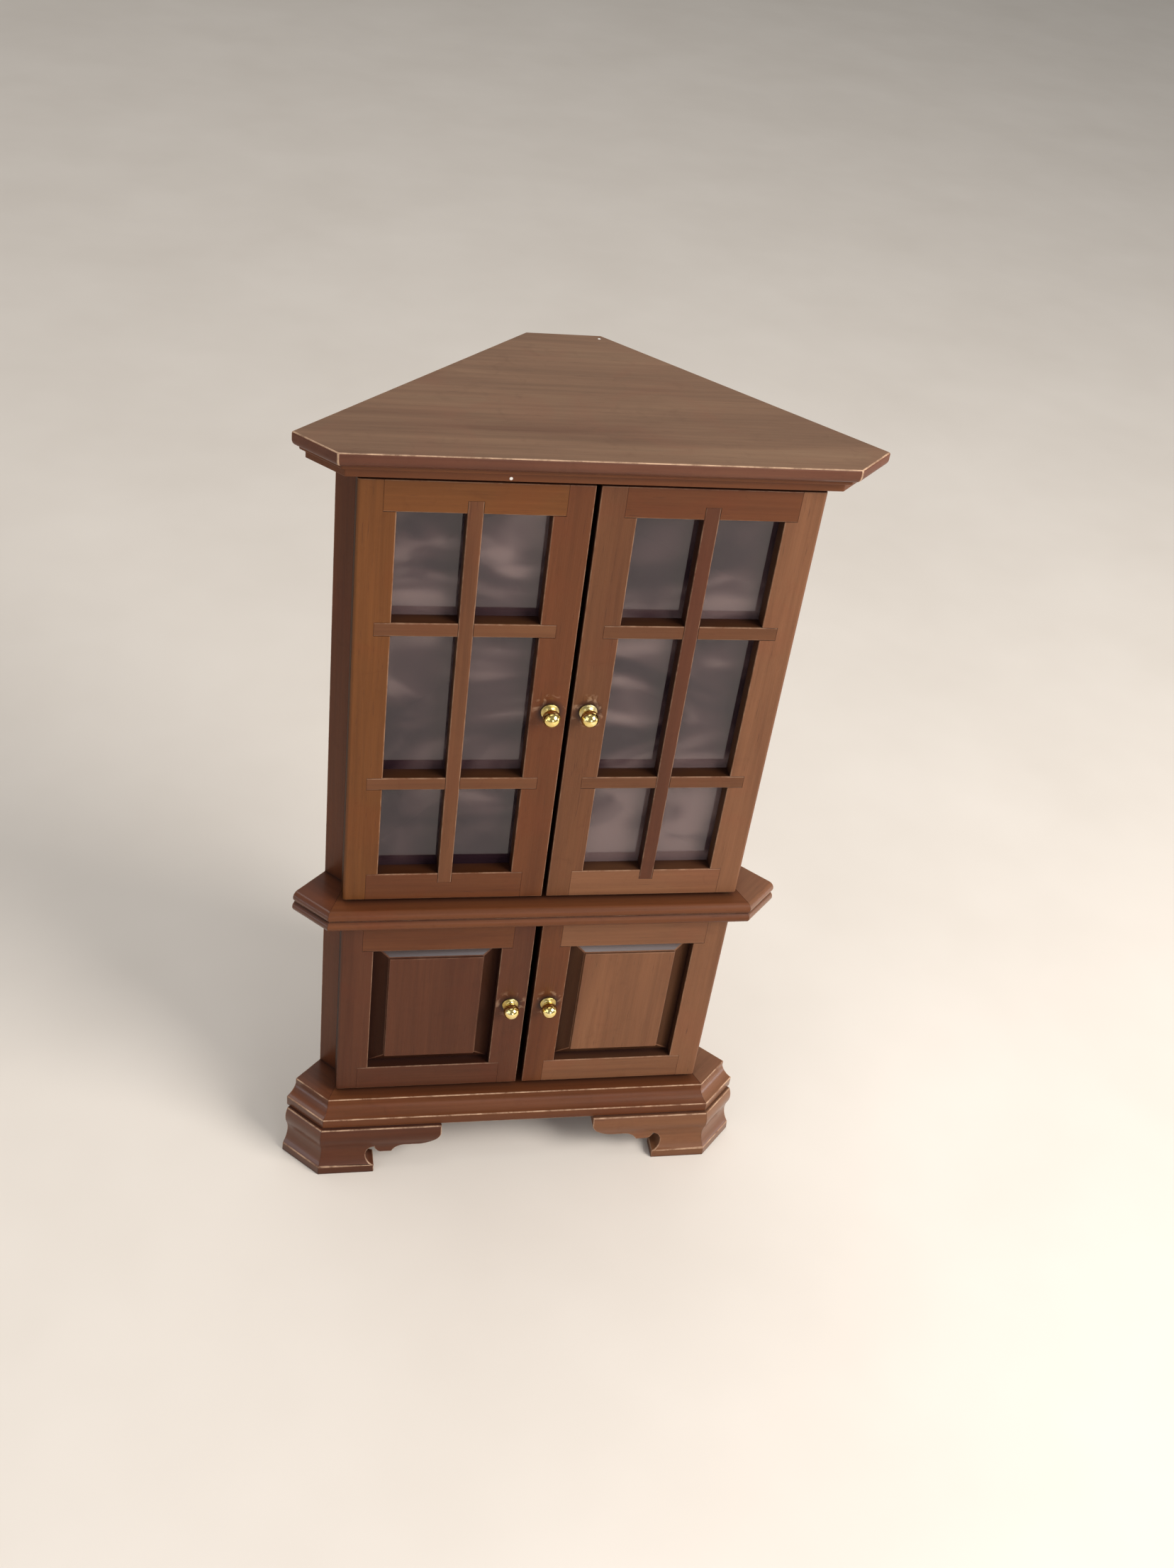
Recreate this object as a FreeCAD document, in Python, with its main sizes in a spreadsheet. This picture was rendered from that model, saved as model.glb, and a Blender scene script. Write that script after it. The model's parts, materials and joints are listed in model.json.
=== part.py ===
import FreeCAD, Part
import os
import re
import Sketcher

# Corner china cabinet in 1:12 dolls'-house scale, in millimetres.
# A glazed pair of doors stands over a panelled pair; the plan is a right-angled corner with a
# straight front, two short canted sides at 45 degrees and two back walls that meet at a small flat.
# +Z is up and the front faces -Y. The outlines below measure y from the face of the closed doors;
# depth_shift then moves every piece so that the origin is the bottom centre of the whole cabinet.

SIZES = {
    # plan, seen from above
    "door_reach": 41.0,          # centre line to the outer edge of a door
    "corner_reach": 42.6,        # centre line to the front corner of an unmoulded board
    "side_foot": 33.8,           # where the plane of a canted side crosses the plane of the doors
    "base_corner_reach": 41.8,   # the same for the base and the feet
    "wall_apex": 54.4,           # door face to the corner of the room
    "rear_half": 7.2,            # half the flat that cuts off the rear corner
    "depth_shift": 20.0,         # door face to the middle of the whole depth
    "carcass_front": 4.7,        # door face to the front edges of the canted sides
    "side_thickness": 2.0,
    "back_thickness": 1.6,
    "shelf_thickness": 2.0,
    "shelf_front": 6.6,
    # heights
    "foot_height": 12.9,
    "base_height": 6.1,
    "lower_door_bottom": 20.3,
    "lower_opening_bottom": 26.9,
    "lower_opening_top": 62.3,
    "lower_door_top": 70.0,
    "waist_bottom": 70.9,
    "waist_height": 4.9,
    "upper_door_bottom": 76.9,
    "upper_opening_bottom": 83.6,
    "lower_bar_middle": 106.5,
    "upper_bar_middle": 141.5,
    "upper_opening_top": 165.1,
    "upper_door_top": 171.2,
    "cornice_bottom": 172.1,
    "cornice_height": 3.1,
    "top_thickness": 2.8,
    # how far each moulding stands out from the plane of the doors
    "top_overhang": 4.6,
    "cornice_overhang": 2.8,
    "cornice_fillet_overhang": 1.3,
    "cornice_fillet_height": 2.1,
    "cornice_cove": 0.9,
    "top_nose": 1.5,
    "top_arris": 0.4,
    "waist_top_overhang": 2.0,
    "waist_groove_overhang": 2.5,
    "waist_foot_overhang": 2.2,
    "waist_groove_height": 2.5,
    "bead_radius": 1.3,
    "base_top_overhang": 2.1,
    "base_band_overhang": 4.9,
    "base_band_height": 2.6,
    "base_fillet_height": 1.4,
    "base_cove_radius": 3.2,
    # bracket feet: the ogee of their faces and the scroll sawn in the front ones
    "foot_top_overhang": 5.6,
    "foot_turn_overhang": 5.9,
    "foot_turn_height": 8.4,
    "foot_bulge_radius": 5.5,
    "foot_hollow_radius": 6.25,
    "foot_pad_overhang": 7.0,
    "foot_sole_overhang": 7.2,
    "foot_pad_height": 2.2,
    "foot_back": 2.4,
    "foot_inner_end": 32.3,
    "foot_side_apex": 53.2,
    "scroll_low": 2.1,
    "scroll_high": 6.7,
    "scroll_radius": 2.35,
    "hook_inner": 30.9,
    "hook_outer": 28.3,
    "hook_low": 5.0,
    "hook_radius": 2.0,
    "step_outer": 24.7,
    "step_inner": 22.6,
    "step_height": 6.9,
    "step_radius": 3.4,
    "wing_end": 17.4,
    "wing_height": 10.6,
    "wing_radius": 5.4,
    "rear_foot_front": 38.0,
    # doors
    "upper_meeting_gap": 0.45,   # centre line to the closing edge of an upper door
    "lower_meeting_gap": 0.7,
    "inner_edge": 7.4,           # centre line to the opening of a door frame
    "door_thickness": 4.0,
    "outer_stile": 6.8,
    "lap_depth": 2.0,
    "lap_length": 2.3,
    "outer_arris": 0.7,
    "bar_width": 2.8,
    "bar_depth": 3.0,
    "bar_lap": 1.5,
    "bar_into_stile": 3.0,
    "bar_into_rail": 2.4,
    "rebate_width": 1.2,
    "glass_play": 0.1,
    "panel_rebate": 2.4,
    "panel_side_border": 3.5,
    "panel_end_border": 2.9,
    "panel_step": 1.0,
    "panel_field": 0.45,
    # pivot pins and knobs
    "pin_inset": 1.6,
    "pin_radius": 0.5,
    "pin_play": 0.06,
    "pin_in_door": 3.0,
    "pin_in_board": 2.0,
    "bore_depth": 2.15,
    "upper_knob_reach": 3.65,    # centre line to the middle of a knob
    "upper_knob_height": 123.7,
    "lower_knob_reach": 4.15,
    "lower_knob_height": 45.5,
    "knob_radius": 1.72,
    "knob_centre": 2.3,
    "knob_neck": 0.9,
    "knob_plate": 1.75,
    "knob_plate_thickness": 0.35,
    "peg_radius": 0.6,
    "peg_length": 2.4,
    "peg_play": 0.03,
}
OVER = "1"                       # how far a cutting tool runs past the wood it cuts
THROUGH = "30"                   # longer than any moulding or foot is high or deep
RUN_ON = "8"                     # how far a strip is made too long before its mitre is cut
SIDES = (("left", -1), ("right", 1))

document = FreeCAD.newDocument("CornerCabinet")
sheet = document.addObject("Spreadsheet::Sheet", "Sizes")
for row, (alias, number) in enumerate(SIZES.items(), start=1):
    sheet.set(f"A{row}", alias)
    sheet.set(f"B{row}", str(number))
    sheet.setAlias(f"B{row}", alias)
document.recompute()
ALIAS = re.compile(r"\b(" + "|".join(sorted(SIZES, key=len, reverse=True)) + r")\b")
pieces = []


def bound(formula):
    """The formula with every size named in the sheet, ready for setExpression."""
    return ALIAS.sub(r"Sizes.\1", formula)


def value(formula):
    """The formula worked out now, for a first guess or a choice of edges."""
    return float(sheet.evalExpression(formula))


def keep(piece, name):
    """Label a finished sub-part with its node name and put it on the list to write out."""
    piece.Label = name
    pieces.append(piece)
    return piece


# ---------------------------------------------------------------- sketches and bodies

def arc_between(start, end, radius, turn):
    """The shorter arc from start to end; turn +1 runs anticlockwise, -1 clockwise."""
    chord = end - start
    middle = (start + end) * 0.5
    rise = max(radius ** 2 - (chord.Length / 2) ** 2, 0.0) ** 0.5
    inward = FreeCAD.Vector(-chord.y, chord.x, 0).normalize()
    centre = middle + inward * (rise * turn)
    first, last = (start, end) if turn > 0 else (end, start)
    circle = Part.Circle(centre, FreeCAD.Vector(0, 0, 1), radius)
    return Part.ArcOfCircle(circle, circle.parameter(first), circle.parameter(last))


def new_sketch(body, plane_role, offset="0"):
    """An empty sketch on one of the body's own planes, moved along the plane's normal."""
    sketch = body.newObject("Sketcher::SketchObject", "Outline")
    plane = [feature for feature in body.Origin.OriginFeatures if feature.Role == plane_role][0]
    sketch.AttachmentSupport = (plane, "")
    sketch.MapMode = "FlatFace"
    sketch.setExpression("AttachmentOffset.Base.z", bound(offset))
    return sketch


def fix_point(sketch, geometry, point, across, up):
    """Hold one point of the sketch at two bound distances from the sketch's origin."""
    for kind, formula in (("DistanceX", across), ("DistanceY", up)):
        rule = Sketcher.Constraint(kind, -1, 1, geometry, point, value(formula))
        number = sketch.addConstraint(rule)
        sketch.setExpression(f"Constraints[{number}]", bound(formula))


def draw(sketch, corners, arcs=None):
    """A closed outline. arcs gives, for the side after a corner, a radius and a turn."""
    arcs = arcs or {}
    points = [FreeCAD.Vector(value(across), value(up), 0) for across, up in corners]
    for index, start in enumerate(points):
        end = points[(index + 1) % len(points)]
        if index in arcs:
            radius, turn = arcs[index]
            sketch.addGeometry(arc_between(start, end, value(radius), turn), False)
        else:
            sketch.addGeometry(Part.LineSegment(start, end), False)
    for index, (across, up) in enumerate(corners):
        before = (index - 1) % len(corners)
        first = 2 if arcs.get(index, ("", 1))[1] < 0 else 1
        last = 1 if arcs.get(before, ("", 1))[1] < 0 else 2
        sketch.addConstraint(Sketcher.Constraint("Coincident", before, last, index, first))
        fix_point(sketch, index, first, across, up)
    for index, (radius, _) in arcs.items():
        number = sketch.addConstraint(Sketcher.Constraint("Radius", index, value(radius)))
        sketch.setExpression(f"Constraints[{number}]", bound(radius))
    return sketch


def new_body(angle=0.0, across="0", forward="0"):
    """A body turned about Z and set in the plan at a bound place behind the door faces."""
    body = document.addObject("PartDesign::Body", "Piece")
    turn = FreeCAD.Rotation(FreeCAD.Vector(0, 0, 1), angle)
    body.Placement = FreeCAD.Placement(FreeCAD.Vector(), turn)
    body.setExpression("Placement.Base.x", bound(across))
    body.setExpression("Placement.Base.y", bound(f"{forward} - depth_shift"))
    return body


def pad(body, sketch, length):
    """Thicken a sketch along its plane's normal."""
    feature = body.newObject("PartDesign::Pad", "Pad")
    feature.Profile = sketch
    feature.setExpression("Length", bound(length))
    document.recompute()
    return feature


def pocket(body, sketch, length, along_normal=True):
    """Cut a sketch out of the body and make sure that the cut took wood away."""
    before = body.Shape.Volume
    feature = body.newObject("PartDesign::Pocket", "Pocket")
    feature.Profile = sketch
    feature.setExpression("Length", bound(length))
    feature.Reversed = along_normal
    document.recompute()
    if body.Shape.Volume >= before - 1e-6:
        raise RuntimeError(f"{body.Label}: a pocket cut nothing")
    return feature


def slab(corners, bottom, height, arcs=None):
    """A flat board: a plan outline thickened upwards."""
    body = new_body()
    pad(body, draw(new_sketch(body, "XY_Plane", bottom), corners, arcs), height)
    return body


def round_edges(body, base, radius, wanted):
    """Fillet the edges of the body whose middle point passes the test."""
    names = [f"Edge{number}" for number, edge in enumerate(base.Shape.Edges, start=1)
             if wanted(edge.CenterOfMass)]
    feature = body.newObject("PartDesign::Fillet", "Fillet")
    feature.Base = (base, names)
    feature.setExpression("Radius", bound(radius))
    document.recompute()
    return feature


# ---------------------------------------------------------------- outlines in plan

def cant_of(overhang):
    """The canted plane |x| - y = constant of a board that stands out by overhang."""
    return f"(corner_reach + sqrt(2) * ({overhang}))"


def corner_outline(front, cant, wall, rear):
    """Six-sided plan: straight front, two canted sides, two walls and a short rear flat."""
    front_x = f"({cant} + ({front}))"
    tip_x = f"(({cant} + {wall}) / 2)"
    tip_y = f"(({wall} - {cant}) / 2)"
    rear_y = f"({wall} - ({rear}))"
    return [(f"-{front_x}", front), (front_x, front), (tip_x, tip_y),
            (f"({rear})", rear_y), (f"-({rear})", rear_y), (f"-{tip_x}", tip_y)]


def board_outline(overhang):
    """Plan of a board whose three shown edges stand out by overhang."""
    return corner_outline(f"(-({overhang}))", cant_of(overhang), "wall_apex", "rear_half")


def strip_depth(corner):
    """How deep the mouldings are that frame a board with this reach to its front corners."""
    return f"(({corner} - side_foot) / sqrt(2))"


def along_cant(corner, apex):
    """Length of a canted edge from the front corner of a board to a wall plane."""
    return f"(({apex} - {corner}) / sqrt(2))"


def mirrored(corners, sign):
    """The outline of the left or the right piece of a pair."""
    return [(f"({sign}) * ({across})", up) for across, up in corners]


INNER_CANT = "(side_foot - sqrt(2) * side_thickness)"
INNER_WALL = "(wall_apex - sqrt(2) * back_thickness)"
REAR_CANT = "(2 * rear_half - wall_apex)"
MITRE = "(sqrt(2) - 1)"
BASE_TOP = "(foot_height + base_height)"
WAIST_TOP = "(waist_bottom + waist_height)"
CORNICE_TOP = "(cornice_bottom + cornice_height)"
PIN_X = "(door_reach - pin_inset)"
PIN_Y = "(door_thickness / 2)"


def bore_pair(body, at_height, upward):
    """Two blind bores for pivot pins, the same distance either side of the centre line."""
    sketch = new_sketch(body, "XY_Plane", at_height)
    for index, sign in enumerate((-1, 1)):
        centre = FreeCAD.Vector(sign * value(PIN_X), value(PIN_Y), 0)
        circle = Part.Circle(centre, FreeCAD.Vector(0, 0, 1), value("pin_radius + pin_play"))
        sketch.addGeometry(circle, False)
        fix_point(sketch, index, 3, f"({sign}) * {PIN_X}", PIN_Y)
        number = sketch.addConstraint(Sketcher.Constraint("Radius", index, circle.Radius))
        sketch.setExpression(f"Constraints[{number}]", bound("pin_radius + pin_play"))
    pocket(body, sketch, "bore_depth", along_normal=upward)


# ---------------------------------------------------------------- boards and shelves

def make_top_board():
    """The flat top, with a rounded under edge and a crisp upper arris."""
    body = slab(board_outline("top_overhang"), CORNICE_TOP, "top_thickness")
    wall = value("wall_apex")
    rear = value("wall_apex - rear_half")
    low = value(CORNICE_TOP)
    high = value(f"{CORNICE_TOP} + top_thickness")

    def shown(point, height):
        on_wall = abs(point.x) + point.y > wall - 0.05 or point.y > rear - 0.05
        return abs(point.z - height) < 0.01 and not on_wall

    under = round_edges(body, body.Tip, "top_nose", lambda point: shown(point, low))
    round_edges(body, under, "top_arris", lambda point: shown(point, high))
    keep(body, "top_board")


def make_cornice_board():
    """The board under the top: a square fillet, a cove and an upper lip."""
    body = slab(board_outline("cornice_fillet_overhang"), "cornice_bottom", "cornice_fillet_height")
    lip_bottom = "(cornice_bottom + cornice_fillet_height)"
    lip = new_sketch(body, "XY_Plane", lip_bottom)
    draw(lip, board_outline("cornice_overhang"))
    pad(body, lip, "cornice_height - cornice_fillet_height")
    fillet_y = value("-cornice_fillet_overhang")
    cant = value(cant_of("cornice_fillet_overhang"))

    def inner_corner(point):
        level = abs(point.z - value(lip_bottom)) < 0.01
        on_front = abs(point.y - fillet_y) < 0.01
        on_cant = abs(abs(point.x) - point.y - cant) < 0.01
        return level and (on_front or on_cant)

    round_edges(body, body.Tip, "cornice_cove", inner_corner)
    bore_pair(body, "cornice_bottom", upward=True)
    keep(body, "cornice_board")


def make_shelf(name, middle):
    """A loose-looking shelf glued between the sides and the backs, behind a glazing bar."""
    rear = f"({INNER_WALL} - wall_apex + rear_half + back_thickness)"
    corners = corner_outline("shelf_front", INNER_CANT, INNER_WALL, rear)
    keep(slab(corners, f"{middle} - shelf_thickness / 2", "shelf_thickness"), name)


def make_inner_board(name, corner, bottom, height):
    """The floor board inside a frame of mouldings."""
    corners = corner_outline(strip_depth(corner), "side_foot", "wall_apex", "rear_half")
    keep(slab(corners, bottom, height), name)


# ---------------------------------------------------------------- sides and backs

def make_carcass_walls(storey, bottom, top):
    """Two canted sides, two backs and the strip that closes the rear corner."""
    height = f"({top}) - ({bottom})"
    side_outer = [("(side_foot + carcass_front)", "carcass_front"),
                  ("(side_foot + wall_apex) / 2", "(wall_apex - side_foot) / 2"),
                  (f"({INNER_CANT} + wall_apex) / 2", f"(wall_apex - {INNER_CANT}) / 2"),
                  (f"({INNER_CANT} + carcass_front)", "carcass_front")]
    back = [(f"({INNER_CANT} + wall_apex) / 2", f"(wall_apex - {INNER_CANT}) / 2"),
            ("rear_half", "wall_apex - rear_half"),
            (f"({REAR_CANT} + {INNER_WALL}) / 2", f"({INNER_WALL} - {REAR_CANT}) / 2"),
            (f"({INNER_CANT} + {INNER_WALL}) / 2", f"({INNER_WALL} - {INNER_CANT}) / 2")]
    for side, sign in SIDES:
        keep(slab(mirrored(side_outer, sign), bottom, height), f"{storey}_side_{side}")
        keep(slab(mirrored(back, sign), bottom, height), f"{storey}_back_{side}")
    strip_inner = "(rear_half - back_thickness)"
    strip_y = "(wall_apex - rear_half)"
    strip = [("-rear_half", strip_y), ("rear_half", strip_y),
             (strip_inner, f"{strip_y} - back_thickness"),
             (f"-{strip_inner}", f"{strip_y} - back_thickness")]
    keep(slab(strip, bottom, height), f"{storey}_back_strip")


# ---------------------------------------------------------------- mitred mouldings and feet

def swept_strip(run, corner, profile, arcs, bottom, side_end):
    """A section swept along one shown face, then cut to its mitres.

    run is 0 for the front strip, -1 or 1 for the left or right canted one. A canted strip is drawn
    along X from the corner of the plan and ends square at side_end.
    """
    angle = 45.0 * run
    body = new_body(angle, f"({run}) * {corner}")
    reach = corner if run == 0 else "0"
    start = {0: f"-({corner} + {RUN_ON})", 1: f"-{RUN_ON}", -1: f"-({side_end})"}[run]
    length = f"2 * ({corner} + {RUN_ON})" if run == 0 else f"({side_end}) + {RUN_ON}"
    section = [(y, f"({bottom}) + ({z})") for y, z in profile]
    pad(body, draw(new_sketch(body, "YZ_Plane", start), section, arcs), length)
    for sign in {0: (-1, 1), 1: (-1,), -1: (1,)}[run]:
        corners = [(f"{reach} + {RUN_ON} * {MITRE}", f"-{RUN_ON}"),
                   (f"{reach} - {RUN_ON} * {MITRE}", RUN_ON),
                   (f"{reach} + 3 * {RUN_ON}", RUN_ON),
                   (f"{reach} + 3 * {RUN_ON}", f"-{RUN_ON}")]
        waste = draw(new_sketch(body, "XY_Plane", bottom), mirrored(corners, sign))
        pocket(body, waste, THROUGH)
    return body


RUNS = (("front", 0), ("left", -1), ("right", 1))


def make_waist_mouldings():
    """Two rounded beads with a quirk between them, mitred round the front."""
    depth = strip_depth("corner_reach")
    profile = [("-waist_foot_overhang", "0"), (depth, "0"),
               (depth, "waist_height"), ("-waist_top_overhang", "waist_height"),
               ("-waist_groove_overhang", "waist_groove_height")]
    arcs = {3: ("bead_radius", 1), 4: ("bead_radius", 1)}
    for place, run in RUNS:
        body = swept_strip(run, "corner_reach", profile, arcs, "waist_bottom",
                           along_cant("corner_reach", "wall_apex"))
        if run == 0:
            bore_pair(body, WAIST_TOP, upward=False)
            bore_pair(body, "waist_bottom", upward=True)
        keep(body, f"waist_moulding_{place}")


def make_base_mouldings():
    """A square fillet, a cove and a plain band below it."""
    depth = strip_depth("base_corner_reach")
    profile = [("-base_band_overhang", "0"), (depth, "0"), (depth, "base_height"),
               ("-base_top_overhang", "base_height"),
               ("-base_top_overhang", "base_height - base_fillet_height"),
               ("-base_band_overhang", "base_band_height")]
    arcs = {4: ("base_cove_radius", -1)}
    for place, run in RUNS:
        body = swept_strip(run, "base_corner_reach", profile, arcs, "foot_height",
                           along_cant("base_corner_reach", "wall_apex"))
        if run == 0:
            bore_pair(body, BASE_TOP, upward=False)
        keep(body, f"base_moulding_{place}")


def foot_section():
    """The ogee of a bracket foot: bulge, hollow and pad, from the top down."""
    profile = [("-foot_back", "foot_height"), ("-foot_top_overhang", "foot_height"),
               ("-foot_turn_overhang", "foot_turn_height"),
               ("-foot_pad_overhang", "foot_pad_height"), ("-foot_sole_overhang", "0"),
               ("-foot_back", "0")]
    arcs = {1: ("foot_bulge_radius", 1), 2: ("foot_hollow_radius", -1)}
    return profile, arcs


def make_front_feet():
    """The two shown brackets, each with a wing, a stepped hook and a round scroll sawn out."""
    profile, arcs = foot_section()
    waste = [("foot_inner_end", "0"), ("foot_inner_end", "scroll_low"),
             ("foot_inner_end", "scroll_high"), ("hook_inner", "hook_low"),
             ("hook_outer", "hook_low"), ("step_outer", "step_height"),
             ("step_inner", "step_height"), ("wing_end", "wing_height"),
             (f"wing_end - {OVER}", "wing_height"), (f"wing_end - {OVER}", f"-{OVER}"),
             ("foot_inner_end", f"-{OVER}")]
    curves = {1: ("scroll_radius", 1), 2: ("hook_radius", -1), 4: ("step_radius", 1),
              6: ("wing_radius", -1)}
    for side, sign in SIDES:
        body = new_body()
        start = "wing_end" if sign > 0 else f"-(base_corner_reach + {RUN_ON})"
        section = draw(new_sketch(body, "YZ_Plane", start), profile, arcs)
        pad(body, section, f"base_corner_reach + {RUN_ON} - wing_end")
        turned = {index: (radius, turn * sign) for index, (radius, turn) in curves.items()}
        outline = draw(new_sketch(body, "XZ_Plane"), mirrored(waste, sign), turned)
        pocket(body, outline, THROUGH)
        mitre = [(f"base_corner_reach + {RUN_ON} * {MITRE}", f"-{RUN_ON}"),
                 ("base_corner_reach", "0"), (f"base_corner_reach + 3 * {RUN_ON}", "0"),
                 (f"base_corner_reach + 3 * {RUN_ON}", f"-{RUN_ON}")]
        pocket(body, draw(new_sketch(body, "XY_Plane"), mirrored(mitre, sign)), THROUGH)
        keep(body, f"foot_front_{side}")


def make_side_feet():
    """The plain mitred returns of the brackets along the canted sides."""
    profile, arcs = foot_section()
    for side, sign in SIDES:
        body = swept_strip(sign, "base_corner_reach", profile, arcs, "0",
                           along_cant("base_corner_reach", "foot_side_apex"))
        keep(body, f"foot_side_{side}")


def make_rear_foot():
    """The block that carries the rear corner."""
    corners = [("-(foot_side_apex - rear_foot_front)", "rear_foot_front"),
               ("foot_side_apex - rear_foot_front", "rear_foot_front"),
               ("rear_half", "foot_side_apex - rear_half"),
               ("-rear_half", "foot_side_apex - rear_half")]
    keep(slab(corners, "0", "foot_height"), "foot_rear")


# ---------------------------------------------------------------- joinery of the doors

def block(across, deep, up):
    """A rectangular piece or cutting tool between bound (low, high) faces."""
    box = document.addObject("Part::Box", "Block")
    for axis, size, (low, high) in (("x", "Length", across), ("y", "Width", deep),
                                    ("z", "Height", up)):
        shift = " - depth_shift" if axis == "y" else ""
        box.setExpression(f"Placement.Base.{axis}", bound(f"({low}){shift}"))
        box.setExpression(size, bound(f"({high}) - ({low})"))
    return box


def rod(across, deep, up, radius, length, along_y=False):
    """A round pin or drill, upright or pointing back from the door faces."""
    cylinder = document.addObject("Part::Cylinder", "Rod")
    if along_y:
        turn = FreeCAD.Rotation(FreeCAD.Vector(1, 0, 0), -90)
        cylinder.Placement = FreeCAD.Placement(FreeCAD.Vector(), turn)
    cylinder.setExpression("Placement.Base.x", bound(across))
    cylinder.setExpression("Placement.Base.y", bound(f"({deep}) - depth_shift"))
    cylinder.setExpression("Placement.Base.z", bound(up))
    cylinder.setExpression("Radius", bound(radius))
    cylinder.setExpression("Height", bound(length))
    return cylinder


def cut(base, tools):
    """The base with every tool cut away."""
    result = document.addObject("Part::Cut", "Cut")
    result.Base = base
    if len(tools) == 1:
        result.Tool = tools[0]
    else:
        result.Tool = document.addObject("Part::MultiFuse", "Tools")
        result.Tool.Shapes = tools
    return result


def group(solids, name):
    """Separate solids that share one node."""
    compound = document.addObject("Part::Compound", "Group")
    compound.Links = solids
    return keep(compound, name)


def spread(sign, near, far):
    """(low, high) across the cabinet for a piece between near and far from the centre."""
    if sign > 0:
        return f"({near})", f"({far})"
    return f"-({far})", f"-({near})"


OUTER_EDGE = "(door_reach - outer_stile)"
BAR_MIDDLE = f"((inner_edge + {OUTER_EDGE}) / 2)"
BAR_HALF = "(bar_width / 2)"
FRONT_LAP = (f"-{OVER}", "lap_depth")
BACK_LAP = ("lap_depth", f"door_thickness + {OVER}")
BAR_FRONT = (f"-{OVER}", "bar_lap")
BAR_BACK = ("bar_lap", f"door_thickness + {OVER}")
BAR_LEVELS = ("lower_bar_middle", "upper_bar_middle")


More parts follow.
